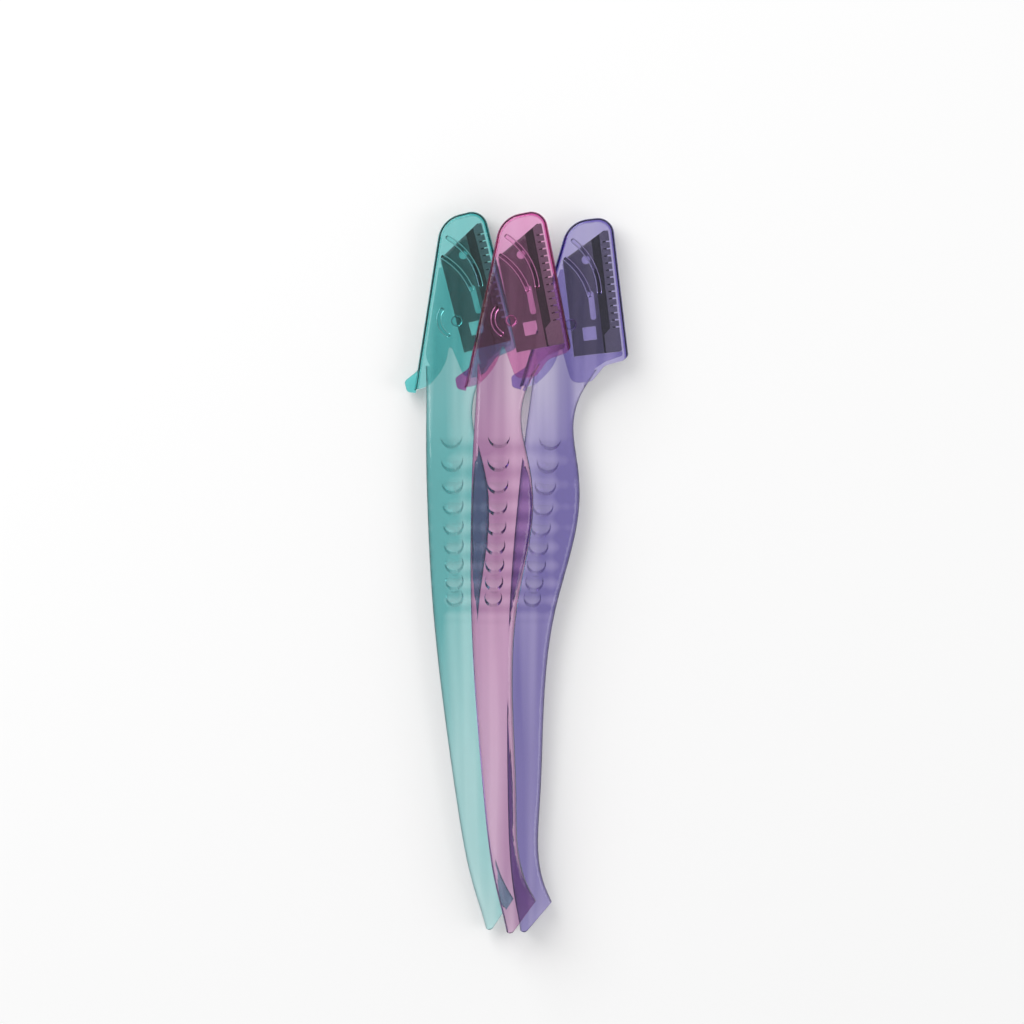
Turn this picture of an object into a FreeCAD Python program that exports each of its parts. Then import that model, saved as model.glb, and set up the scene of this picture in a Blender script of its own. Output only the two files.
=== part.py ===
import FreeCAD, Part
import math
import os
import Sketcher

# Three eyebrow razors of one moulding, in teal, pink and purple. Teal and purple lie side by side and pink
# lies over both. Each razor is a handle, a blade, a toothed guard, a clamp plate and a pull-off cap.
# A razor is drawn in its own frame: +Y runs from the tail to the cap along the handle, +X points to the side
# of the cutting edge, and Z is the thickness, with zero in the middle of the razor.
# The head is drawn in the edge frame: its origin is the lower end of the cutting edge, +Y runs up the edge
# and +X points out of the edge.

Vector = FreeCAD.Vector
Z_AXIS = Vector(0, 0, 1)

# Driving dimensions, in millimetres and degrees.
SIZES = {
    # Blade, with its slanted end
    "edge_length": 25.6,
    "blade_width": 9.4,
    "blade_thick": 0.3,
    "bevel_width": 0.8,
    "edge_thick": 0.04,
    # Round stake, below the slanted end of the seat
    "pin_inset": 4.6,
    "pin_drop": 2.6,
    "pin_radius": 0.8,
    # Square stake and long slot, from the lower end of the cutting edge
    "post_inset": 5.6,
    "post_rise": 4.4,
    "post_side": 2.6,
    "slot_inset": 4.4,
    "slot_rise": 10.2,
    "slot_width": 1.2,
    "slot_length": 6.0,
    "slot_flat": 0.12,
    "stake_fit": 0.1,
    "stake_proud": 0.2,
    # Head of the handle
    "edge_lean": 11.0,
    "edge_across": 12.7,
    "edge_along": 9.0,
    "head_base": 18.0,
    "wedge_angle": 23.0,
    "head_thick": 3.2,
    "head_round": 0.7,
    "head_heel_round": 4.5,
    "blade_reach": 3.0,
    "seat_margin": 0.6,
    "blade_fit": 0.1,
    "ledge_depth": 1.7,
    "ledge_toe_depth": 0.85,
    "ledge_toe_round": 0.55,
    "seat_sink": 0.4,
    # Clamp plate
    "clamp_thick": 1.1,
    "clamp_round": 0.6,
    # Guard
    "guard_reach": 0.75,
    "guard_back": 1.2,
    "guard_rail": 0.5,
    "guard_thick": 1.7,
    "guard_fit": 0.03,
    "guard_foot": 5.0,
    "guard_foot_back": 2.6,
    "guard_round": 0.35,
    "tooth_count": 13,
    "tooth_end": 1.1,
    "tooth_gap": 0.32,
    # Cap
    "cap_wall": 0.8,
    "cap_clear": 0.35,
    "cap_headroom": 1.8,
    "cap_front_corner": 3.4,
    "cap_back_corner": 6.0,
    "cap_edge_round": 0.9,
    "rib_height": 0.45,
    "rib_clear": 0.25,
    "rib_width": 1.0,
    "cusp_inset": 11.9,
    "cusp_rise": 3.0,
    "cusp_round": 0.4,
    "lobe_inset": 13.5,
    "lobe_drop": 1.5,
    "lobe_round": 10.0,
    "heel_inset": 18.2,
    "heel_drop": 5.0,
    "heel_round": 2.0,
    "tongue_back": 10.6,
    "tongue_front": 6.3,
    "tongue_drop": 5.6,
    "tongue_round": 2.0,
    "rim_inset": 3.2,
    "rim_drop": 2.6,
    "rim_round": 2.0,
    "front_drop": 1.9,
    "front_rise": 5.0,
    "front_inset": 0.35,
    "front_round": 2.0,
    "tab_reach": 3.6,
    "tab_flare": 2.4,
    "tab_top": 1.4,
    "tab_low": 5.8,
    "tab_slope": 1.4,
    "tab_thick": 4.0,
    "tab_round": 0.9,
    # Ribs inside the cap: prong roots from its top and back, the rest from the lower end of the edge
    "prong_bend": 14.0,
    "long_prong_tip_inset": 2.6,
    "long_prong_tip_rise": 12.8,
    "long_prong_root_gap": 1.4,
    "long_prong_root_drop": 3.4,
    "short_prong_tip_inset": 4.7,
    "short_prong_tip_rise": 12.4,
    "short_prong_root_gap": 1.05,
    "short_prong_root_drop": 7.1,
    "hook_inset": 11.8,
    "hook_low": 4.4,
    "hook_high": 9.7,
    "hook_bend": 3.6,
    "boss_inset": 9.3,
    "boss_rise": 6.7,
    "boss_radius": 1.15,
    # Grip scallops
    "scallop_first": 12.8,
    "scallop_pitch": 4.9,
    "scallop_pitch_step": 0.22,
    "scallop_radius": 2.3,
    "scallop_radius_step": 0.08,
    "scallop_depth": 0.6,
    "scallop_tilt": 14.0,
    "scallop_flare": 35.0,
    "scallop_shift": 0.2,
    "scallop_shift_step": 0.15,
    # Tail
    "tail_cut_angle": 54.0,
    "tail_cut_gap": 5.0,
    "tail_blunt_gap": 10.57,
    "tail_corner": 1.2,
    "tail_relief_angle": 27.0,
    # The set as it lies
    "belly_lift": 0.05,
    "stack_gap": 0.3,
    "fan_gap": 0.9,
    "teal_turn": 3.18,
    "purple_turn": 4.35,
    "purple_back": 0.4,
}

# Cross-sections of the handle from the shoulder, above the cap's mouth, to the tip: how far each lies from
# the mouth or from the one before it, how far its back and its front lie from the handle's axis, its thickness
# and the radius of its corners. The shoulder and the mouth fit in the cap and the belly is nearly as thick, so
# the cap sets their thickness.
STATIONS = {
    "shoulder": {"rise": 4.8, "back": 4.7, "front": 8.4, "corner": 0.7},
    "mouth": {"back": 4.85, "front": 5.8, "corner": 0.8},
    "neck": {"step": 7.8, "back": 5.35, "front": 4.5, "thick": 4.7, "corner": 1.0},
    "palm": {"step": 7.7, "back": 5.75, "front": 6.0, "thick": 5.8, "corner": 1.2},
    "belly": {"step": 8.5, "back": 6.0, "front": 6.95, "corner": 1.3},
    "grip": {"step": 21.5, "back": 6.05, "front": 3.7, "thick": 6.0, "corner": 1.3},
    "waist": {"step": 18.5, "back": 5.15, "front": 2.7, "thick": 5.4, "corner": 1.2},
    "slim": {"step": 22.0, "back": 3.35, "front": 3.45, "thick": 4.8, "corner": 1.1},
    "tail": {"step": 18.0, "back": 0.9, "front": 5.95, "thick": 4.2, "corner": 1.0},
    "tip": {"step": 13.0, "back": -1.9, "front": 8.3, "thick": 3.8, "corner": 0.9},
}

SCALLOP_COUNT = 9
EPSILON = 0.001


class Size:
    """A value of the sheet, or an expression of such values: its number, and its text for a property."""

    def __init__(self, number, text):
        self.number = number
        self.text = text

    def join(self, sign, other, number):
        return Size(number, f"({self.text} {sign} {other.text})")

    def __add__(self, other):
        other = as_size(other)
        return self.join("+", other, self.number + other.number)

    def __sub__(self, other):
        other = as_size(other)
        return self.join("-", other, self.number - other.number)

    def __mul__(self, other):
        other = as_size(other)
        return self.join("*", other, self.number * other.number)

    def __truediv__(self, other):
        other = as_size(other)
        return self.join("/", other, self.number / other.number)

    def __radd__(self, other):
        return as_size(other) + self

    def __rsub__(self, other):
        return as_size(other) - self

    def __rmul__(self, other):
        return as_size(other) * self

    def __neg__(self):
        return Size(-self.number, f"(-1 * {self.text})")


def as_size(value):
    return value if isinstance(value, Size) else Size(value, repr(value))


def cosine(angle):
    return Size(math.cos(math.radians(angle.number)), f"cos({angle.text})")


def sine(angle):
    return Size(math.sin(math.radians(angle.number)), f"sin({angle.text})")


def tangent(angle):
    return Size(math.tan(math.radians(angle.number)), f"tan({angle.text})")


doc = FreeCAD.newDocument("eyebrow_razors")
sheet = doc.addObject("Spreadsheet::Sheet", "sizes")
for station, values in STATIONS.items():
    for name, value in values.items():
        SIZES[f"{station}_{name}"] = value
size = {}
for row, (name, value) in enumerate(SIZES.items(), start=1):
    sheet.set(f"A{row}", name)
    sheet.set(f"B{row}", str(value))
    sheet.setAlias(f"B{row}", name)
    size[name] = Size(value, f"sizes.{name}")
doc.recompute()

# Sizes that several pieces share, in the edge frame. The blade's back corner lies on the head's back.
wedge_lean = tangent(size["wedge_angle"])
blade_back_length = (size["head_base"] - size["blade_width"]) / wedge_lean
blade_slope = (size["edge_length"] - blade_back_length) / size["blade_width"]


def seat_top(inset):
    """How high the seat and the clamp reach at an inset from the edge, short of the blade's slanted end."""
    return size["edge_length"] - blade_slope * inset - size["seat_margin"]


head_half = size["head_thick"] / 2
blade_half = size["blade_thick"] / 2
cavity_half = head_half + size["rib_clear"] + size["rib_height"]
cap_half = cavity_half + size["cap_wall"]
clamp_top = blade_half + size["clamp_thick"]
size["shoulder_drop"] = -size["shoulder_rise"]
size["mouth_drop"] = as_size(0)
for upper, lower in zip(list(STATIONS)[1:], list(STATIONS)[2:]):
    size[f"{lower}_drop"] = size[f"{upper}_drop"] + size[f"{lower}_step"]
size["shoulder_thick"] = size["head_thick"]
size["mouth_thick"] = size["head_thick"] + size["rib_height"]
size["belly_thick"] = (cap_half - size["belly_lift"]) * 2
pin_rise = seat_top(size["pin_inset"]) - size["pin_drop"]
cavity_front = size["guard_reach"] + size["cap_clear"]
cavity_back = size["head_base"] + size["cap_clear"] / cosine(size["wedge_angle"])
cavity_top = size["edge_length"] + size["cap_headroom"]
wall_back = size["cap_wall"] / cosine(size["wedge_angle"])
cap_front = cavity_front + size["cap_wall"]
cap_back = cavity_back + wall_back


def bind(feature, path, value):
    """Ties a property of a feature to a size."""
    feature.setExpression(path, as_size(value).text)


def new_body(name):
    return doc.addObject("PartDesign::Body", name)


def origin_plane(body, role):
    return next(item for item in body.Origin.OriginFeatures if item.Role == role)


def new_sketch(body, name, role="XY_Plane", height=None, in_edge_frame=False):
    """Adds a sketch on one of the body's planes, raised by a height, turned into the edge frame if asked."""
    sketch = body.newObject("Sketcher::SketchObject", name)
    sketch.AttachmentSupport = [(origin_plane(body, role), "")]
    sketch.MapMode = "FlatFace"
    if height is not None:
        bind(sketch, "AttachmentOffset.Base.z", height)
    if in_edge_frame:
        bind(sketch, "AttachmentOffset.Base.x", size["edge_across"])
        bind(sketch, "AttachmentOffset.Base.y", size["edge_along"])
        bind(sketch, "AttachmentOffset.Rotation.Angle", size["edge_lean"])
    return sketch


def hold(sketch, kind, *places, value):
    """Adds a dimension to a sketch and ties it to a size."""
    index = sketch.addConstraint(Sketcher.Constraint(kind, *places, value.number))
    sketch.setExpression(f"Constraints[{index}]", value.text)


def hold_point(sketch, geometry, end, x, y):
    """Fixes a point of a sketch at two sizes from the sketch's origin."""
    for kind, value in (("DistanceX", as_size(x)), ("DistanceY", as_size(y))):
        hold(sketch, kind, -1, 1, geometry, end, value=value)


def arc_geometry(centre, radius, start, end):
    """An arc about a centre, counter-clockwise from the direction of one point to that of another."""
    first = math.atan2(start.y - centre.y, start.x - centre.x)
    last = math.atan2(end.y - centre.y, end.x - centre.x)
    if last <= first:
        last += 2 * math.pi
    return Part.ArcOfCircle(Part.Circle(centre, Z_AXIS, radius), first, last)


def outline(sketch, corners):
    """Draws a closed outline through corners given as (x, y) where sharp or (x, y, radius) where rounded."""
    points = [Vector(as_size(c[0]).number, as_size(c[1]).number, 0) for c in corners]
    radii = [as_size(c[2]) if len(c) > 2 else None for c in corners]
    count = len(corners)
    entries, exits, arcs = [], [], []
    for i in range(count):
        back = (points[i - 1] - points[i]).normalize()
        ahead = (points[(i + 1) % count] - points[i]).normalize()
        if radii[i] is None:
            entries.append(points[i])
            exits.append(points[i])
            arcs.append(None)
            continue
        half_angle = back.getAngle(ahead) / 2
        reach = radii[i].number / math.tan(half_angle)
        entry = points[i] + back * reach
        leave = points[i] + ahead * reach
        centre = points[i] + (back + ahead).normalize() * (radii[i].number / math.sin(half_angle))
        turns_left = (back.cross(ahead)).z < 0
        ends = (entry, leave) if turns_left else (leave, entry)
        entries.append(entry)
        exits.append(leave)
        arcs.append((arc_geometry(centre, radii[i].number, *ends), turns_left))
    lines = []
    for i in range(count):
        segment = Part.LineSegment(exits[i], entries[(i + 1) % count])
        lines.append(sketch.addGeometry(segment, False))
    for i in range(count):
        before, after = lines[i - 1], lines[i]
        x, y = corners[i][:2]
        if arcs[i] is None:
            sketch.addConstraint(Sketcher.Constraint("Coincident", before, 2, after, 1))
            hold_point(sketch, after, 1, x, y)
            continue
        geometry, turns_left = arcs[i]
        arc = sketch.addGeometry(geometry, False)
        first, last = (1, 2) if turns_left else (2, 1)
        sketch.addConstraint(Sketcher.Constraint("Tangent", before, 2, arc, first))
        sketch.addConstraint(Sketcher.Constraint("Tangent", arc, last, after, 1))
        hold(sketch, "Radius", arc, value=radii[i])
        corner = sketch.addGeometry(Part.Point(points[i]), True)
        sketch.addConstraint(Sketcher.Constraint("PointOnObject", corner, 1, before))
        sketch.addConstraint(Sketcher.Constraint("PointOnObject", corner, 1, after))
        hold_point(sketch, corner, 1, x, y)


def circle(sketch, x, y, radius):
    """Draws a circle."""
    centre = Vector(as_size(x).number, as_size(y).number, 0)
    index = sketch.addGeometry(Part.Circle(centre, Z_AXIS, radius.number), False)
    hold_point(sketch, index, 3, x, y)
    hold(sketch, "Radius", index, value=radius)


def box_corners(left, right, low, high, *radius):
    """The corners of an upright rectangle, counter-clockwise."""
    return [(left, low, *radius), (right, low, *radius), (right, high, *radius), (left, high, *radius)]


def pad(body, sketch, length, symmetric=False, reverse=False):
    """Adds material from a sketch along its normal."""
    feature = body.newObject("PartDesign::Pad", f"{sketch.Name}_pad")
    feature.Profile = sketch
    feature.SideType = "Symmetric" if symmetric else "One side"
    feature.Reversed = reverse
    bind(feature, "Length", length)
    return feature


def cut_through(body, sketch):
    """Cuts a sketch through the whole body, both ways."""
    feature = body.newObject("PartDesign::Pocket", f"{sketch.Name}_cut")
    feature.Profile = sketch
    feature.Type = "ThroughAll"
    feature.SideType = "Symmetric"
    return feature


def cut_middle(body, sketch, length):
    """Cuts a sketch by a length, half to each side of its plane."""
    feature = body.newObject("PartDesign::Pocket", f"{sketch.Name}_cut")
    feature.Profile = sketch
    feature.SideType = "Symmetric"
    bind(feature, "Length", length)
    return feature


def grip_half_thickness(drop):
    """Half the thickness of the handle at a drop along the grip, read straight between two stations."""
    stations = ["neck", "palm", "belly", "grip", "waist"]
    for upper, lower in zip(stations, stations[1:]):
        start, stop = size[f"{upper}_drop"], size[f"{lower}_drop"]
        if drop.number <= stop.number:
            share = (drop - start) / (stop - start)
            change = size[f"{lower}_thick"] - size[f"{upper}_thick"]
            return (size[f"{upper}_thick"] + share * change) / 2
    return size["waist_thick"] / 2


def scallop_row(name, upper):
    """The cutter for the grip of one face: a row of tilted cones, each a flared dish, deepest to the tail."""
    body = new_body(name)
    side = 1 if upper else -1
    rim_reach = size["scallop_depth"] * tangent(size["scallop_flare"] + size["scallop_tilt"])
    for i in range(SCALLOP_COUNT):
        narrowing = size["scallop_pitch_step"] * (i * (i - 1) / 2)
        drop = size["scallop_first"] + size["scallop_pitch"] * i - narrowing
        radius = size["scallop_radius"] - size["scallop_radius_step"] * i
        floor = grip_half_thickness(drop) - size["scallop_depth"]
        base = floor + radius * sine(size["scallop_tilt"])
        scallop = body.newObject("PartDesign::AdditiveCone", f"{name}_{i + 1}")
        scallop.AttachmentSupport = [(origin_plane(body, "XY_Plane"), "")]
        scallop.MapMode = "FlatFace"
        scallop.AttachmentOffset = FreeCAD.Placement(Vector(), FreeCAD.Rotation(Vector(side, 0, 0), 1))
        bind(scallop, "AttachmentOffset.Rotation.Angle", size["scallop_tilt"] + (0 if upper else 180))
        bind(scallop, "AttachmentOffset.Base.x", -size["scallop_shift"] - size["scallop_shift_step"] * i)
        bind(scallop, "AttachmentOffset.Base.y", radius + rim_reach - drop)
        bind(scallop, "AttachmentOffset.Base.z", base * side)
        bind(scallop, "Height", size["head_thick"])
        bind(scallop, "Radius1", radius)
        bind(scallop, "Radius2", radius + size["head_thick"] * tangent(size["scallop_flare"]))
    return body


def make_handle(name):
    """The handle: a lofted bar with an oblique tail, grip scallops, and the head with its seat and stakes."""
    body = new_body(name)
    sections = []
    for station in STATIONS:
        sketch = new_sketch(body, f"{name}_{station}", "XZ_Plane", size[f"{station}_drop"])
        half = size[f"{station}_thick"] / 2
        back, front = size[f"{station}_back"], size[f"{station}_front"]
        outline(sketch, box_corners(-back, front, -half, half, size[f"{station}_corner"]))
        sections.append(sketch)
    bar = body.newObject("PartDesign::AdditiveLoft", f"{name}_bar")
    bar.Profile = sections[0]
    bar.Sections = sections[1:]

    tail = new_sketch(body, f"{name}_tail_cut")
    low = -size["tip_drop"] - size["tip_thick"]
    right = size["tip_front"] + size["tip_thick"]
    cut_drop = size["tail_drop"] + size["tail_cut_gap"]
    start = -cut_drop + (right - size["tail_front"]) * tangent(size["tail_cut_angle"])
    blunt = -size["tail_drop"] - size["tail_blunt_gap"]
    toe = right - (start - blunt) / tangent(size["tail_cut_angle"])
    left = -size["belly_back"]
    relief = blunt + (toe - left) / tangent(size["tail_relief_angle"])
    corner = (toe, blunt, size["tail_corner"])
    outline(tail, [(left, low), (right, low), (right, start), corner, (left, relief)])
    cut_through(body, tail)

    grip = body.newObject("PartDesign::Boolean", f"{name}_scallops")
    grip.Type = "Cut"
    grip.addObjects([scallop_row(f"{name}_upper_scallop", True), scallop_row(f"{name}_lower_scallop", False)])

    spine = new_sketch(body, f"{name}_spine", in_edge_frame=True)
    step = -size["blade_width"] - size["blade_fit"]
    ledge = -size["blade_fit"]
    spine_top = (size["head_base"] + step - size["head_round"]) / wedge_lean
    outline(spine, [
        (size["guard_reach"], ledge),
        (step, ledge),
        (step, spine_top),
        (step - size["head_round"], spine_top),
        (-size["head_base"], 0, size["head_heel_round"]),
        (-size["lobe_inset"], -size["tongue_drop"]),
        (-size["tongue_back"], -size["tongue_drop"]),
        (-size["blade_reach"], ledge - size["ledge_depth"], size["ledge_depth"]),
        (size["guard_reach"], ledge - size["ledge_toe_depth"], size["ledge_toe_round"]),
    ])
    pad(body, spine, size["head_thick"], symmetric=True)

    seat = new_sketch(body, f"{name}_seat", height=-head_half, in_edge_frame=True)
    back = step - size["blade_fit"]
    outline(seat, [
        (back, ledge - size["seat_sink"]),
        (-size["blade_reach"], ledge - size["seat_sink"]),
        (-size["blade_reach"], seat_top(size["blade_reach"]), size["head_round"]),
        (back, seat_top(-back)),
    ])
    pad(body, seat, head_half - blade_half)

    stakes = new_sketch(body, f"{name}_stakes", height=-blade_half - size["blade_thick"], in_edge_frame=True)
    circle(stakes, -size["pin_inset"], pin_rise, size["pin_radius"])
    post_half = size["post_side"] / 2
    outline(stakes, box_corners(
        -size["post_inset"] - post_half, post_half - size["post_inset"],
        size["post_rise"] - post_half, size["post_rise"] + post_half,
    ))
    pad(body, stakes, clamp_top + blade_half + size["blade_thick"] + size["stake_proud"])
    return body


def stake_holes(sketch):
    """Draws the holes that drop over the two stakes."""
    circle(sketch, -size["pin_inset"], pin_rise, size["pin_radius"] + size["stake_fit"])
    hole_half = size["post_side"] / 2 + size["stake_fit"]
    outline(sketch, box_corners(
        -size["post_inset"] - hole_half, hole_half - size["post_inset"],
        size["post_rise"] - hole_half, size["post_rise"] + hole_half,
    ))


def make_blade(name):
    """The blade: a steel strip ground to an edge, cut to a slant, with its stake holes and long slot."""
    body = new_body(name)
    section = new_sketch(body, f"{name}_section", "XZ_Plane")
    edge_half = size["edge_thick"] / 2
    outline(section, [
        (-size["blade_width"], -blade_half),
        (-size["bevel_width"], -blade_half),
        (0, -edge_half),
        (0, edge_half),
        (-size["bevel_width"], blade_half),
        (-size["blade_width"], blade_half),
    ])
    pad(body, section, size["edge_length"], reverse=True)
    slant = new_sketch(body, f"{name}_slant")
    outline(slant, [
        (-size["blade_width"] * 2, size["edge_length"] - blade_slope * size["blade_width"] * 2),
        (0, size["edge_length"]),
        (0, size["edge_length"] * 2),
        (-size["blade_width"] * 2, size["edge_length"] * 2),
    ])
    cut_through(body, slant)
    holes = new_sketch(body, f"{name}_holes")
    stake_holes(holes)
    slot_half = size["slot_width"] / 2
    outline(holes, box_corners(
        -size["slot_inset"] - slot_half, slot_half - size["slot_inset"],
        size["slot_rise"] - size["slot_length"] / 2, size["slot_rise"] + size["slot_length"] / 2,
        slot_half - size["slot_flat"] / 2,
    ))
    cut_through(body, holes)
    return body


def make_clamp(name):
    """The clamp: a flat plate staked over the blade on its seat."""
    body = new_body(name)
    plate = new_sketch(body, f"{name}_plate", height=blade_half)
    back = -size["blade_width"]
    outline(plate, [
        (back, 0, size["clamp_round"]),
        (-size["blade_reach"], 0, size["clamp_round"]),
        (-size["blade_reach"], seat_top(size["blade_reach"]), size["clamp_round"]),
        (back, seat_top(-back), size["clamp_round"]),
    ])
    pad(body, plate, size["clamp_thick"])
    holes = new_sketch(body, f"{name}_holes")
    stake_holes(holes)
    cut_through(body, holes)
    return body


def make_guard(name):
    """The guard: a comb that straddles the edge, with a groove for the blade, gaps and a plain foot."""
    body = new_body(name)
    comb = new_sketch(body, f"{name}_comb")
    outline(comb, [
        (-size["guard_foot_back"], 0, size["guard_round"]),
        (size["guard_reach"], 0, size["guard_round"]),
        (size["guard_reach"], size["edge_length"], size["guard_round"]),
        (-size["guard_back"], size["edge_length"] - blade_slope * size["guard_back"], size["guard_round"]),
        (-size["guard_back"], size["guard_foot"], size["guard_round"]),
        (-size["guard_foot_back"], size["guard_foot"] - size["guard_back"], size["guard_round"]),
    ])
    pad(body, comb, size["guard_thick"], symmetric=True)
    groove = new_sketch(body, f"{name}_groove")
    outline(groove, box_corners(
        -size["guard_foot_back"] * 2, size["guard_fit"], -size["guard_foot"], size["edge_length"] * 2,
    ))
    cut_middle(body, groove, size["blade_thick"] + 2 * size["guard_fit"])
    gap = new_sketch(body, f"{name}_gap")
    outline(gap, box_corners(
        size["guard_rail"] - size["guard_back"], size["guard_reach"] * 2,
        size["guard_foot"], size["guard_foot"] + size["tooth_gap"],
    ))
    first_gap = cut_through(body, gap)
    gaps = body.newObject("PartDesign::LinearPattern", f"{name}_gaps")
    gaps.Originals = [first_gap]
    gaps.Direction = (gap, ["V_Axis"])
    tooth_pitch = (size["edge_length"] - size["guard_foot"] - size["tooth_end"]) / size["tooth_count"]
    bind(gaps, "Length", tooth_pitch * (size["tooth_count"] - 1))
    bind(gaps, "Occurrences", size["tooth_count"])
    body.Tip = gaps
    return body


def bent_rib(sketch, start, end, bend):
    """Draws a rib with round ends that bends from one point to another, its middle on a given radius."""
    half = size["rib_width"] / 2
    tips = [Vector(as_size(x).number, as_size(y).number, 0) for x, y in (start, end)]
    chord = tips[1] - tips[0]
    across = Vector(chord.y, -chord.x, 0).normalize()
    centre_depth = math.sqrt(bend.number ** 2 - (chord.Length / 2) ** 2)
    centre = (tips[0] + tips[1]) * 0.5 + across * centre_depth

    def on_side(tip, distance):
        return centre + (tip - centre).normalize() * (bend.number + distance)

    outer = [on_side(tip, half.number) for tip in tips]
    inner = [on_side(tip, -half.number) for tip in tips]
    outside = sketch.addGeometry(arc_geometry(centre, bend.number + half.number, outer[1], outer[0]), False)
    start_cap = sketch.addGeometry(arc_geometry(tips[0], half.number, outer[0], inner[0]), False)
    inside = sketch.addGeometry(arc_geometry(centre, bend.number - half.number, inner[1], inner[0]), False)
    end_cap = sketch.addGeometry(arc_geometry(tips[1], half.number, inner[1], outer[1]), False)
    for first, first_end, second, second_end in (
        (outside, 2, start_cap, 1),
        (start_cap, 2, inside, 2),
        (inside, 1, end_cap, 1),
        (end_cap, 2, outside, 1),
    ):
        sketch.addConstraint(Sketcher.Constraint("Tangent", first, first_end, second, second_end))
    sketch.addConstraint(Sketcher.Constraint("Coincident", outside, 3, inside, 3))
    hold_point(sketch, start_cap, 3, *start)
    hold_point(sketch, end_cap, 3, *end)
    hold(sketch, "Radius", start_cap, value=half)
    hold(sketch, "Radius", outside, value=bend + half)


def round_edges(body, name, radius, wanted):
    """Rounds the edges of a body's present shape that a test picks."""
    base = body.Tip
    base.recompute(True)
    names = [f"Edge{i}" for i, edge in enumerate(base.Shape.Edges, start=1) if wanted(edge)]
    fillet = body.newObject("PartDesign::Fillet", name)
    fillet.Base = (base, names)
    bind(fillet, "Radius", radius)


def make_cap(name):
    """The cap: a hollow wedge with a mouth of two lobes and a cusp between, a thumb tab, and ribs inside."""
    body = new_body(name)
    top = cavity_top + size["cap_wall"]
    low = -size["tongue_drop"] - size["tab_low"]

    shell = new_sketch(body, f"{name}_shell")
    outline(shell, [
        (cap_front, low),
        (cap_front, top, size["cap_front_corner"]),
        (wedge_lean * top - cap_back, top, size["cap_back_corner"]),
        (wedge_lean * low - cap_back, low),
    ])
    pad(body, shell, cap_half * 2, symmetric=True)

    def outer_edge(edge):
        on_face = abs(abs(edge.CenterOfMass.z) - cap_half.number) < EPSILON
        return on_face and edge.BoundBox.YMax > low.number + EPSILON

    round_edges(body, f"{name}_edge_rounds", size["cap_edge_round"], outer_edge)

    hollow = new_sketch(body, f"{name}_hollow")
    depth = low * 2
    outline(hollow, [
        (cavity_front, depth),
        (cavity_front, cavity_top, size["cap_front_corner"] - size["cap_wall"]),
        (wedge_lean * cavity_top - cavity_back, cavity_top, size["cap_back_corner"] - size["cap_wall"]),
        (wedge_lean * depth - cavity_back, depth),
    ])
    cut_middle(body, hollow, cavity_half * 2)

    mouth = new_sketch(body, f"{name}_mouth")
    outline(mouth, [
        (-cap_back * 2, depth),
        (cap_front * 2, depth),
        (cap_front * 2, size["front_rise"]),
        (cap_front - size["front_inset"], -size["front_drop"], size["front_round"]),
        (-size["rim_inset"], -size["rim_drop"], size["rim_round"]),
        (-size["tongue_front"], -size["tongue_drop"], size["tongue_round"]),
        (-size["tongue_back"], -size["tongue_drop"], size["tongue_round"]),
        (-size["cusp_inset"], size["cusp_rise"], size["cusp_round"]),
        (-size["lobe_inset"], -size["lobe_drop"], size["lobe_round"]),
        (-size["heel_inset"], -size["heel_drop"], size["heel_round"]),
        (-cap_back * 2, -size["tab_low"]),
    ])
    cut_through(body, mouth)

    def in_wall(height):
        return wedge_lean * height - cavity_back - wall_back / 2

    tab = new_sketch(body, f"{name}_tab")
    tip = in_wall(-size["tab_top"]) - size["tab_reach"]
    root = in_wall(-size["tab_top"]) - wall_back / 2
    outline(tab, [
        (in_wall(size["tab_top"]), size["tab_top"]),
        (root, -size["tab_top"], size["tab_flare"]),
        (tip, -size["tab_top"] - size["tab_slope"], size["tab_round"]),
        (tip, -size["tab_low"] + size["tab_slope"] / 2, size["tab_round"]),
        (in_wall(-size["tab_low"]), -size["tab_low"]),
    ])
    pad(body, tab, size["tab_thick"], symmetric=True)

    ribs = new_sketch(body, f"{name}_ribs", height=cavity_half - size["rib_height"])
    for prong in ("long_prong", "short_prong"):
        tip_end = (-size[f"{prong}_tip_inset"], size[f"{prong}_tip_rise"])
        root_rise = cavity_top - size[f"{prong}_root_drop"]
        root_end = (wedge_lean * root_rise - cavity_back + size[f"{prong}_root_gap"], root_rise)
        bent_rib(ribs, root_end, tip_end, size["prong_bend"])
    hook_ends = [(-size["hook_inset"], size["hook_low"]), (-size["hook_inset"], size["hook_high"])]
    bent_rib(ribs, *hook_ends, size["hook_bend"])
    circle(ribs, -size["boss_inset"], size["boss_rise"], size["boss_radius"])
    pad(body, ribs, size["rib_height"] + size["cap_wall"] / 2)
    return body


MAKERS = {
    "handle": make_handle,
    "blade": make_blade,
    "guard": make_guard,
    "clamp": make_clamp,
    "cap": make_cap,
}
EDGE_FRAME = FreeCAD.Placement(
    Vector(size["edge_across"].number, size["edge_along"].number, 0),
    FreeCAD.Rotation(Z_AXIS, size["edge_lean"].number),
)
IN_EDGE_FRAME = ("blade", "guard", "clamp", "cap")

mouldings = {piece: maker(piece) for piece, maker in MAKERS.items()}
doc.recompute()
for item in doc.Objects:
    if "Invalid" in item.State or "Error" in item.State:
        raise RuntimeError(f"{item.Name} failed: {item.State}")

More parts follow.
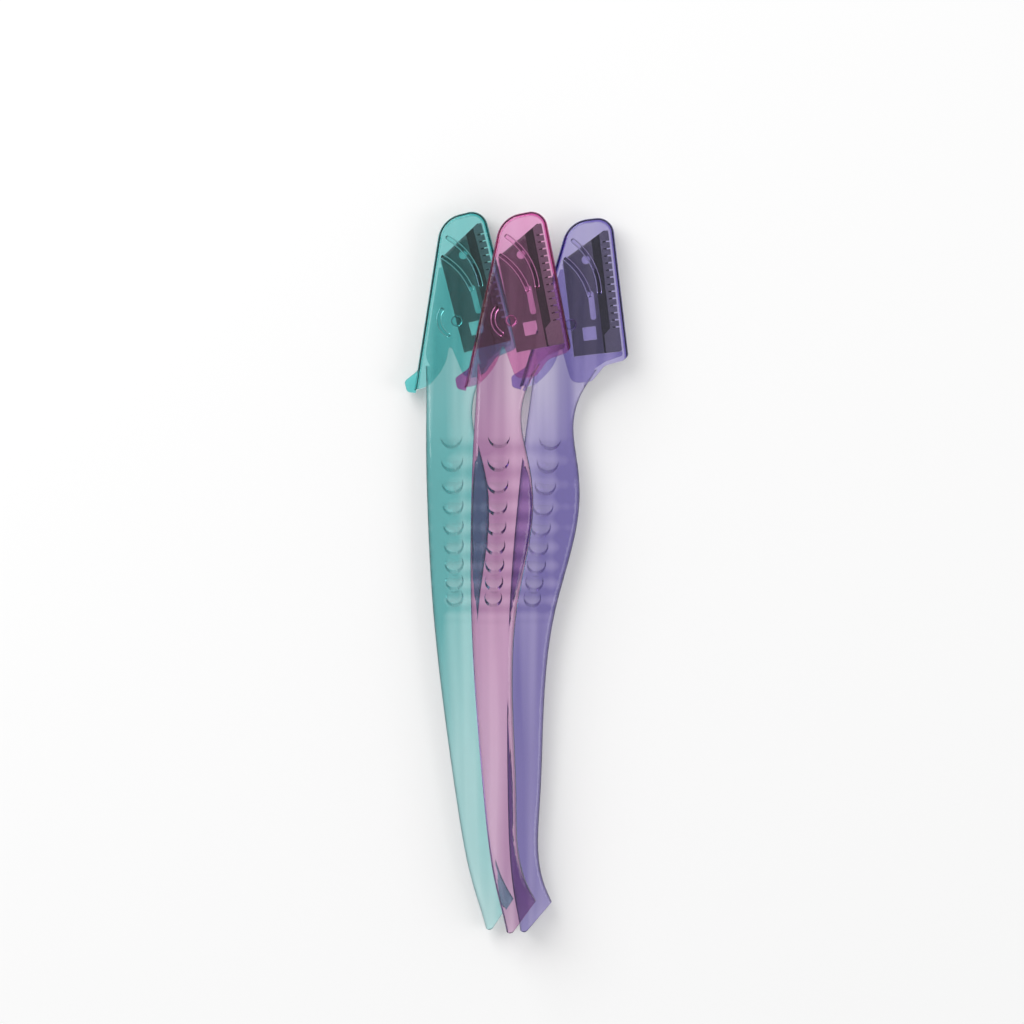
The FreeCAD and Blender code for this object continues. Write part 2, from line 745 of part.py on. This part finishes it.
# Where each razor lies: across, along, height of its middle and turn. Teal and purple stand apart by the
# width of a cap, so that their caps clear each other.
step = (cap_front + cap_back).number / 2
purple_across = step + size["fan_gap"].number
rest_height = cap_half.number
upper_height = rest_height + cap_half.number * 2 + size["stack_gap"].number
LIE = {
    "teal": (-step, 0, rest_height, size["teal_turn"].number),
    "pink": (0, 0, upper_height, 0),
    "purple": (purple_across, -size["purple_back"].number, rest_height, -size["purple_turn"].number),
}
pieces = []
for colour, (across, along, height, turn) in LIE.items():
    lie = FreeCAD.Placement(Vector(across, along, height), FreeCAD.Rotation(Z_AXIS, turn))
    for piece, moulding in mouldings.items():
        body = new_body(f"{colour}_{piece}")
        copy = body.newObject("PartDesign::FeatureBase", f"{colour}_{piece}_moulding")
        copy.BaseFeature = moulding
        body.Tip = copy
        body.Placement = lie * EDGE_FRAME if piece in IN_EDGE_FRAME else lie
        pieces.append(body)
doc.recompute()

# The origin lies on the floor under the middle of the set.
boxes = [body.Shape.optimalBoundingBox() for body in pieces]
middle = Vector(
    (min(box.XMin for box in boxes) + max(box.XMax for box in boxes)) / 2,
    (min(box.YMin for box in boxes) + max(box.YMax for box in boxes)) / 2,
    0,
)
for body in pieces:
    body.Placement.Base -= middle
doc.recompute()

for body in pieces:
    if body.Shape.isNull() or not body.Shape.isValid() or len(body.Shape.Solids) != 1:
        raise RuntimeError(f"{body.Label} is not one valid solid")

os.makedirs("parts", exist_ok=True)
for body in pieces:
    body.Shape.exportStep(f"parts/{body.Label}.step")
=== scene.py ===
import math

import bmesh
import bpy
from mathutils import Matrix, Vector


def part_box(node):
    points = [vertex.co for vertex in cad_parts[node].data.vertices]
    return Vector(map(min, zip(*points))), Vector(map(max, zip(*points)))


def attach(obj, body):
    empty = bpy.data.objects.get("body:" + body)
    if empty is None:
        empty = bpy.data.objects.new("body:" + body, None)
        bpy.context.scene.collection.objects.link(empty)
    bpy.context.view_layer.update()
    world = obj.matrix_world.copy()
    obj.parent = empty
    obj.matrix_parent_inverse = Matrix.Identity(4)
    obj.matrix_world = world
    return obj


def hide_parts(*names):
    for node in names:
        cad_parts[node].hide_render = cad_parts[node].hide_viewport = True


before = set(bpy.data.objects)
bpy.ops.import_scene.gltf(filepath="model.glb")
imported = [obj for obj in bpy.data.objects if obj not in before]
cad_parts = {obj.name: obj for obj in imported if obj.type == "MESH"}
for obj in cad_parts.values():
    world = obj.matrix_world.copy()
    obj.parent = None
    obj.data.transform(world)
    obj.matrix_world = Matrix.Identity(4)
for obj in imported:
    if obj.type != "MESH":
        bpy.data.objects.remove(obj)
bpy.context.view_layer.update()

# Handles: one injection moulding per razor in clear tinted plastic, solid right through, with polished sides,
# a scalloped grip and an oblique tail. The moulding also makes the head, the blade seat and the two stakes.
MM = 0.001
MERGE = 0.002 * MM
HANDLE_CREASE = math.radians(32)
LEVEL = math.cos(math.radians(6.5))


class Wire:
    """A socket of a material's nodes. Arithmetic on it adds Math nodes, and add() any other node."""

    def __init__(self, tree, socket=None):
        self.tree = tree
        self.socket = socket

    def add(self, kind, settings=None, inputs=None, output=0):
        node = self.tree.nodes.new(kind)
        for name, value in (settings or {}).items():
            if name == "stops":
                for element, (position, colour) in zip(node.color_ramp.elements, value):
                    element.position = position
                    element.color = colour
            else:
                setattr(node, name, value)
        for name, value in (inputs or {}).items():
            if isinstance(value, Wire):
                self.tree.links.new(value.socket, node.inputs[name])
            else:
                node.inputs[name].default_value = value
        return Wire(self.tree, node.outputs[output])

    def math(self, operation, first, second):
        return self.add("ShaderNodeMath", {"operation": operation}, {0: first, 1: second})

    def __add__(self, other):
        return self.math("ADD", self, other)

    def __radd__(self, other):
        return self.math("ADD", other, self)

    def __sub__(self, other):
        return self.math("SUBTRACT", self, other)

    def __rsub__(self, other):
        return self.math("SUBTRACT", other, self)

    def __mul__(self, other):
        return self.math("MULTIPLY", self, other)

    def __rmul__(self, other):
        return self.math("MULTIPLY", other, self)


def new_finish(name):
    """A material with only its output, and a wire to start its nodes from."""
    material = bpy.data.materials.new(name)
    material.use_nodes = True
    material.node_tree.nodes.clear()
    return material, Wire(material.node_tree)


def close_finish(wire, surface, volume=None):
    """Ends a material's nodes in its output."""
    links = {"Surface": surface}
    if volume is not None:
        links["Volume"] = volume
    output = wire.tree.nodes.new("ShaderNodeOutputMaterial")
    for name, value in links.items():
        wire.tree.links.new(value.socket, output.inputs[name])


def object_noise(wire, scale, detail=2.0, stretch=(1, 1, 1)):
    """Noise in the piece's own place, so many grains to the metre."""
    place = wire.add("ShaderNodeTexCoord", output=3)
    turned = wire.add("ShaderNodeMapping", {}, {"Vector": place, "Scale": stretch})
    return wire.add("ShaderNodeTexNoise", {}, {"Vector": turned, "Scale": scale, "Detail": detail})


# How much of each colour a metre of the plastic takes out of the light, and its skin's tint, light and deep.
TINTS = {
    "teal": {"takes": (120, 38, 38), "skin": (0.94, 0.99, 0.99), "deep": (0.36, 0.68, 0.69)},
    "pink": {"takes": (42, 114, 58), "skin": (0.99, 0.93, 0.97), "deep": (0.62, 0.47, 0.62)},
    "purple": {"takes": (108, 128, 46), "skin": (0.98, 0.97, 0.99), "deep": (0.46, 0.43, 0.66)},
}
PLASTIC_IOR = 1.5
# The slow streaks from the mould: their grain and stretch, and the start and contrast that raise them into
# painted light and dark bands along each moulding, as painted shade.
FLOW_AND_SHADE_GRAIN = 150
FLOW_AND_SHADE_STRETCH = (1, 0.05, 0.05)
FLOW_AND_SHADE_START = 0.38
FLOW_AND_SHADE_CONTRAST = 4.0
WEAR_GRAIN = 900
WEAR_DETAIL = 4.0
RIPPLE_STRENGTH = 0.05
RIPPLE_DEPTH = 0.1 * MM
# The scallops' painted shade, a soft dark band painted into the colour at each: the place of the first
# along the handle, the shaded length, the stretch at both ends over which the shade dies out, how many
# scallops come to the metre at the first, and how that number grows.
GRIP_TOP = 26.0 * MM
GRIP_LENGTH = 34.0 * MM
GRIP_FADE = 3.0 * MM
GRIP_RATE = 181.8
GRIP_GROWTH = 1675.0


def grip_shade(wire):
    """Painted shade: the soft dark band that each scallop throws right across the handle, from 0 to 1."""
    place = wire.add("ShaderNodeTexCoord", output=3)
    along = GRIP_TOP - wire.add("ShaderNodeSeparateXYZ", {}, {"Vector": place}, output=1)
    turns = along * (GRIP_RATE + GRIP_GROWTH * along)
    wave = wire.add("ShaderNodeMath", {"operation": "COSINE"}, {0: turns * math.tau})
    off_middle = wire.add("ShaderNodeMath", {"operation": "ABSOLUTE"}, {0: along - GRIP_LENGTH / 2})
    from_end = GRIP_LENGTH / 2 + GRIP_FADE - off_middle
    inside = wire.math("MINIMUM", wire.math("MAXIMUM", from_end * (1 / GRIP_FADE), 0.0), 1.0)
    return (0.5 + 0.5 * wave) * inside


def clear_plastic(name, tint, gloss, haze, painted_grip_shade=0.0, clarity=1.0):
    """Clear tinted moulding: polished, with faint haze and slow streaks from the mould, which also paint light
    and dark bands as painted shade, and, if asked, the scallops' painted shade.
    """
    material, wire = new_finish(name)
    flow_and_painted_bands = object_noise(wire, FLOW_AND_SHADE_GRAIN, stretch=FLOW_AND_SHADE_STRETCH)
    wear = object_noise(wire, WEAR_GRAIN, WEAR_DETAIL)
    # Painted shade: the streaks paint light and dark bands into the colour, and the scallops' painted shade is
    # added.
    tint_and_painted_shade = (flow_and_painted_bands - FLOW_AND_SHADE_START) * FLOW_AND_SHADE_CONTRAST
    if painted_grip_shade:
        tint_and_painted_shade = tint_and_painted_shade + painted_grip_shade * grip_shade(wire)
    skin = wire.add(
        "ShaderNodeMix", {"data_type": "RGBA"},
        {0: tint_and_painted_shade, 6: (*tint["skin"], 1), 7: (*tint["deep"], 1)}, output=2,
    )
    ripple = wire.add(
        "ShaderNodeBump", {}, {"Strength": RIPPLE_STRENGTH, "Distance": RIPPLE_DEPTH, "Height": flow_and_painted_bands},
    )
    shell = wire.add("ShaderNodeBsdfPrincipled", {}, {
        "Base Color": skin,
        "Roughness": gloss + haze * wear,
        "IOR": PLASTIC_IOR,
        "Transmission Weight": clarity,
        "Normal": ripple,
    })
    strongest = max(tint["takes"])
    left = tuple(1 - part / strongest for part in tint["takes"])
    body = wire.add("ShaderNodeVolumeAbsorption", {}, {"Color": (*left, 1), "Density": float(strongest)})
    close_finish(wire, shell, body)
    return material


def merged_copy(node, crease, shaping=None):
    """A mesh like the node's, joined, shaped further if asked, and sharp at creases and round level faces."""
    mesh = bpy.data.meshes.new(f"{node}_moulding")
    shape = bmesh.new()
    shape.from_mesh(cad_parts[node].data)
    bmesh.ops.remove_doubles(shape, verts=shape.verts, dist=MERGE)
    if shaping:
        shaping(shape)
    shape.normal_update()
    for face in shape.faces:
        face.smooth = True
    for edge in shape.edges:
        sides = {abs(face.normal.z) > LEVEL for face in edge.link_faces}
        edge.smooth = len(sides) == 1 and edge.calc_face_angle(0) < crease
    shape.to_mesh(mesh)
    shape.free()
    return mesh


def stand_for(node, mesh, material, body):
    """Puts a mesh in the place of a node, on its body."""
    mesh.materials.clear()
    mesh.materials.append(material)
    piece = bpy.data.objects.new(mesh.name, mesh)
    bpy.context.scene.collection.objects.link(piece)
    even = piece.modifiers.new("even_normals", "WEIGHTED_NORMAL")
    even.keep_sharp = True
    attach(piece, body)
    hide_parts(node)
    return piece


# The handle ends where the moulding was cut from its runner, so the face at the tail is dull.
TAIL_REACH = 8.0 * MM
TAIL_FACING = 0.5


def dull_tail(mesh):
    """Gives the cut face at the tail the second material."""
    low = min(vert.co.y for vert in mesh.vertices)
    for face in mesh.polygons:
        face.material_index = int(face.normal.y < -TAIL_FACING and face.center.y < low + TAIL_REACH)


plastics = {}
for colour, tint in TINTS.items():
    handle = f"{colour}_handle"
    handle_mesh = merged_copy(handle, HANDLE_CREASE)
    plastics[colour] = clear_plastic(f"{colour}_plastic", tint, gloss=0.03, haze=0.05, painted_grip_shade=0.45)
    stand_for(handle, handle_mesh, plastics[colour], f"{colour}_razor")
    cut_tint = {"takes": tint["takes"], "skin": tint["deep"], "deep": tint["deep"]}
    cut_plastic = clear_plastic(f"{colour}_cut", cut_tint, gloss=0.4, haze=0.1, clarity=0.3)
    handle_mesh.materials.append(cut_plastic)
    dull_tail(handle_mesh)

# Blades: thin strips of stainless steel, ground to an edge on both faces and cut to a slant, dropped over the
# stakes of the head. The flat is rolled bright and the strip beside the edge is ground; both steels are
# painted dark, a painted reflection of dark surroundings, the ground strip darker. Both have fine lines along
# them.
STRIP_WIDTH = 3.0 * MM
BLADE_AIR = 0.02 * MM
FACE_TURN = math.radians(2)
BLADE_CREASE = math.radians(20)
LINE_GRAIN = 900
LINE_DETAIL = 3.0
LINE_STRETCH = (6, 0.3, 1)
SCRATCH_STRENGTH = 0.1
SCRATCH_DEPTH = 0.02 * MM
# Each steel's colour in its lines, dark and light, painted dark as a painted reflection of dark surroundings.
ROLLED_PAINTED_REFLECTION = ((0.24, 0.235, 0.245, 1), (0.36, 0.35, 0.36, 1))
GROUND_PAINTED_REFLECTION = ((0.025, 0.025, 0.03, 1), (0.06, 0.06, 0.068, 1))


def strip_steel(name, dark, light):
    """Strip steel with fine lines along it."""
    material, wire = new_finish(name)
    lines = object_noise(wire, LINE_GRAIN, LINE_DETAIL, LINE_STRETCH)
    colour = wire.add("ShaderNodeMix", {"data_type": "RGBA"}, {0: lines, 6: dark, 7: light}, output=2)
    scratch = wire.add(
        "ShaderNodeBump", {}, {"Strength": SCRATCH_STRENGTH, "Distance": SCRATCH_DEPTH, "Height": lines},
    )
    strip = wire.add("ShaderNodeBsdfPrincipled", {}, {
        "Base Color": colour,
        "Metallic": 1.0,
        "Roughness": 0.25 + 0.15 * lines,
        "Normal": scratch,
    })
    close_finish(wire, strip)
    return material


def part_strip(mesh):
    """Frees a blade's flats from the plastic, and gives the strip beside its edge the second material."""
    shape = bmesh.new()
    shape.from_mesh(mesh)
    middle = sum(vert.co.z for vert in shape.verts) / len(shape.verts)
    for vert in shape.verts:
        vert.co.z -= math.copysign(min(BLADE_AIR, abs(vert.co.z - middle)), vert.co.z - middle)
    folds = [edge for edge in shape.edges if edge.calc_face_angle(0) > FACE_TURN]
    straight = max(folds, key=lambda edge: edge.calc_length())
    along = (straight.verts[1].co - straight.verts[0].co).normalized()
    across = along.cross(Vector((0, 0, 1)))
    if across.x < 0:
        across.negate()
    reach = max(vert.co.dot(across) for vert in shape.verts) - STRIP_WIDTH
    everything = list(shape.verts) + list(shape.edges) + list(shape.faces)
    bmesh.ops.bisect_plane(shape, geom=everything, dist=MERGE, plane_co=across * reach, plane_no=across)
    for face in shape.faces:
        face.material_index = int(face.calc_center_median().dot(across) > reach)
    shape.to_mesh(mesh)
    shape.free()


rolled_painted_reflection = strip_steel("blade_flat", *ROLLED_PAINTED_REFLECTION)
ground_painted_reflection = strip_steel("blade_strip", *GROUND_PAINTED_REFLECTION)
for colour in TINTS:
    blade = f"{colour}_blade"
    blade_mesh = merged_copy(blade, BLADE_CREASE)
    stand_for(blade, blade_mesh, rolled_painted_reflection, f"{colour}_razor")
    blade_mesh.materials.append(ground_painted_reflection)
    part_strip(blade_mesh)

# Guards: combs moulded in a dark filled plastic, with a gap at each tooth and a plain foot at the lower end.
# Each is pressed on over the cutting edge, so that the skin meets its rounded teeth and not the whole edge.
GUARD_CREASE = math.radians(30)
GRAIN = 2500
GRAIN_DETAIL = 3.0
GRAIN_STRENGTH = 0.2
GRAIN_DEPTH = 0.02 * MM
COMB = (0.19, 0.18, 0.20, 1)
COMB_LIGHT = (0.33, 0.32, 0.35, 1)


def comb_plastic(name):
    """Dark moulded plastic with a fine grain."""
    material, wire = new_finish(name)
    grain = object_noise(wire, GRAIN, GRAIN_DETAIL)
    colour = wire.add("ShaderNodeMix", {"data_type": "RGBA"}, {0: grain, 6: COMB, 7: COMB_LIGHT}, output=2)
    pebble = wire.add(
        "ShaderNodeBump", {}, {"Strength": GRAIN_STRENGTH, "Distance": GRAIN_DEPTH, "Height": grain},
    )
    comb = wire.add("ShaderNodeBsdfPrincipled", {}, {
        "Base Color": colour,
        "Roughness": 0.3 + 0.2 * grain,
        "Normal": pebble,
    })
    close_finish(wire, comb)
    return material


dark_comb = comb_plastic("guard_plastic")
for colour in TINTS:
    guard = f"{colour}_guard"
    stand_for(guard, merged_copy(guard, GUARD_CREASE), dark_comb, f"{colour}_razor")

# Clamps: flat plates moulded in the handle's own tinted plastic. Each drops over the pin and the post of the
# head on top of the blade, and both are staked over it, so that the blade can't lift off its seat.
for colour in TINTS:
    clamp = f"{colour}_clamp"
    clamp_mesh = merged_copy(clamp, HANDLE_CREASE)
    stand_for(clamp, clamp_mesh, plastics[colour], f"{colour}_razor")

# Caps: thin hollow mouldings that push over the head, with ribs inside that hold it, a lobed mouth and a
# thumb tab to pull them off by. Their plastic is dyed deeper, so that the walls glow where they are seen
# edge-on.
CAP_TINTS = {
    "teal": {"takes": (420, 85, 85), "skin": (0.84, 0.96, 0.96), "deep": (0.76, 0.94, 0.94)},
    "pink": {"takes": (45, 360, 130), "skin": (0.98, 0.90, 0.94), "deep": (0.96, 0.84, 0.90)},
    "purple": {"takes": (230, 270, 75), "skin": (0.91, 0.90, 0.97), "deep": (0.85, 0.83, 0.95)},
}
CAP_CREASE = math.radians(35)
COPLANAR = math.radians(0.4)
SQUARE = math.radians(60)
RIB_FACE = 1.85 * MM
RIB_ROUND = 0.42 * MM
EDGE_ROUND = 0.12 * MM


def square_edges(shape):
    """The edges of a shape at which two faces meet about square."""
    return [edge for edge in shape.edges if edge.calc_face_angle(0) > SQUARE]


def round_off(shape, edges, radius):
    """Rounds edges of a shape."""
    bmesh.ops.bevel(
        shape, geom=edges, offset=radius, offset_type="OFFSET", affect="EDGES", segments=3, profile=0.5,
        clamp_overlap=True, material=-1,
    )


def soften_cap(shape):
    """Rounds the ribs inside a cap, and takes the sharpness off its other edges."""
    bmesh.ops.dissolve_limit(shape, angle_limit=COPLANAR, verts=shape.verts, edges=shape.edges)
    heights = [vert.co.z for vert in shape.verts]
    rib_level = (min(heights) + max(heights)) / 2 + RIB_FACE
    ribs = [
        edge for edge in square_edges(shape)
        if all(abs(vert.co.z - rib_level) < MERGE for vert in edge.verts)
    ]
    round_off(shape, ribs, RIB_ROUND)
    round_off(shape, square_edges(shape), EDGE_ROUND)


for colour, tint in CAP_TINTS.items():
    cap = f"{colour}_cap"
    cap_plastic = clear_plastic(f"{colour}_cap_plastic", tint, gloss=0.02, haze=0.03)
    cap_mesh = merged_copy(cap, CAP_CREASE, soften_cap)
    stand_for(cap, cap_mesh, cap_plastic, f"{colour}_cap")

# Studio: a pale floor under the set, a large soft light to the upper left, a weaker one to the right and an
# even grey surround, with the camera straight above.
FLOOR_SIZE = 3.0
FLOOR_DROP = 0.05 * MM
FLOOR_COLOUR = (0.8, 0.8, 0.8, 1)
FLOOR_LIFT = 0.2
FLOOR_WHITENESS = 0.7
SLANT_SHADE = 4.0


def pale_floor(name):
    """A white floor that keeps the shadow, and shows white through the plastic, darker at a slant."""
    material, wire = new_finish(name)
    path = wire.add("ShaderNodeLightPath").socket.node
    glossy = Wire(wire.tree, path.outputs["Is Glossy Ray"])
    through = Wire(wire.tree, path.outputs["Is Transmission Ray"])
    slant = wire.add("ShaderNodeLayerWeight", {}, {"Blend": 0.5}, output=1)
    shade = wire.math("MAXIMUM", 1.0 - SLANT_SHADE * slant, 0.0)
    seen_in = wire.math("MAXIMUM", glossy, through) * shade * FLOOR_WHITENESS
    camera = Wire(wire.tree, path.outputs["Is Camera Ray"])
    paper = wire.add("ShaderNodeBsdfDiffuse", {}, {"Color": FLOOR_COLOUR})
    lift = wire.add("ShaderNodeEmission", {}, {"Strength": FLOOR_LIFT})
    lifted = wire.add("ShaderNodeAddShader", {}, {0: paper, 1: lift})
    lit = wire.add("ShaderNodeMixShader", {}, {0: camera, 1: paper, 2: lifted})
    white = wire.add("ShaderNodeEmission", {}, {"Strength": 1.0})
    close_finish(wire, wire.add("ShaderNodeMixShader", {}, {0: seen_in, 1: lit, 2: white}))
    return material


floor_mesh = bpy.data.meshes.new("floor")
floor_shape = bmesh.new()
bmesh.ops.create_grid(floor_shape, x_segments=1, y_segments=1, size=FLOOR_SIZE / 2)
bmesh.ops.translate(floor_shape, verts=floor_shape.verts, vec=(0, 0, -FLOOR_DROP))
floor_shape.to_mesh(floor_mesh)
floor_shape.free()
floor_mesh.materials.append(pale_floor("floor"))
floor = bpy.data.objects.new("floor", floor_mesh)
bpy.context.scene.collection.objects.link(floor)


def soft_light(name, place, aim, size, power):
    """A square soft light at a place, turned to a point."""
    lamp = bpy.data.lights.new(name, "AREA")
    lamp.shape = "SQUARE"
    lamp.size = size
    lamp.energy = power
    holder = bpy.data.objects.new(name, lamp)
    turn = (Vector(aim) - Vector(place)).to_track_quat("-Z", "Y")
    holder.matrix_world = Matrix.Translation(place) @ turn.to_matrix().to_4x4()
    bpy.context.scene.collection.objects.link(holder)


soft_light("key", place=(-0.55, 0.6, 0.75), aim=(0, 0, 0), size=0.9, power=8.0)
soft_light("fill", place=(0.8, -0.2, 0.8), aim=(0, 0, 0), size=0.6, power=2.0)

SURROUND_STRENGTH = 0.5
world = bpy.data.worlds.new("surround")
world.use_nodes = True
world.node_tree.nodes["Background"].inputs["Color"].default_value = (1, 1, 1, 1)
world.node_tree.nodes["Background"].inputs["Strength"].default_value = SURROUND_STRENGTH
bpy.context.scene.world = world

# The camera stands over a point left of the pink edge and below it, so that the set lies in the picture as it
# does in the photograph.
CAMERA_HEIGHT = 1.2
PICTURE_WIDTH = 215.0 * MM
AIM_LEFT = 10.2 * MM
AIM_BELOW = 33.2 * MM
blade_low, blade_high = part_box("pink_blade")
lens = bpy.data.cameras.new("camera")
lens.sensor_width = 36
lens.lens = lens.sensor_width * CAMERA_HEIGHT / PICTURE_WIDTH
camera = bpy.data.objects.new("camera", lens)
camera.location = (blade_high.x - AIM_LEFT, blade_low.y - AIM_BELOW, CAMERA_HEIGHT)
bpy.context.scene.collection.objects.link(camera)
bpy.context.scene.camera = camera

# Light passes many walls of clear plastic, so it is followed further than usual.
CLEAR_BOUNCES = 32
GLOSSY_BOUNCES = 8
scene = bpy.context.scene
scene.view_settings.view_transform = "Standard"
scene.cycles.max_bounces = CLEAR_BOUNCES
scene.cycles.transmission_bounces = CLEAR_BOUNCES
scene.cycles.glossy_bounces = GLOSSY_BOUNCES
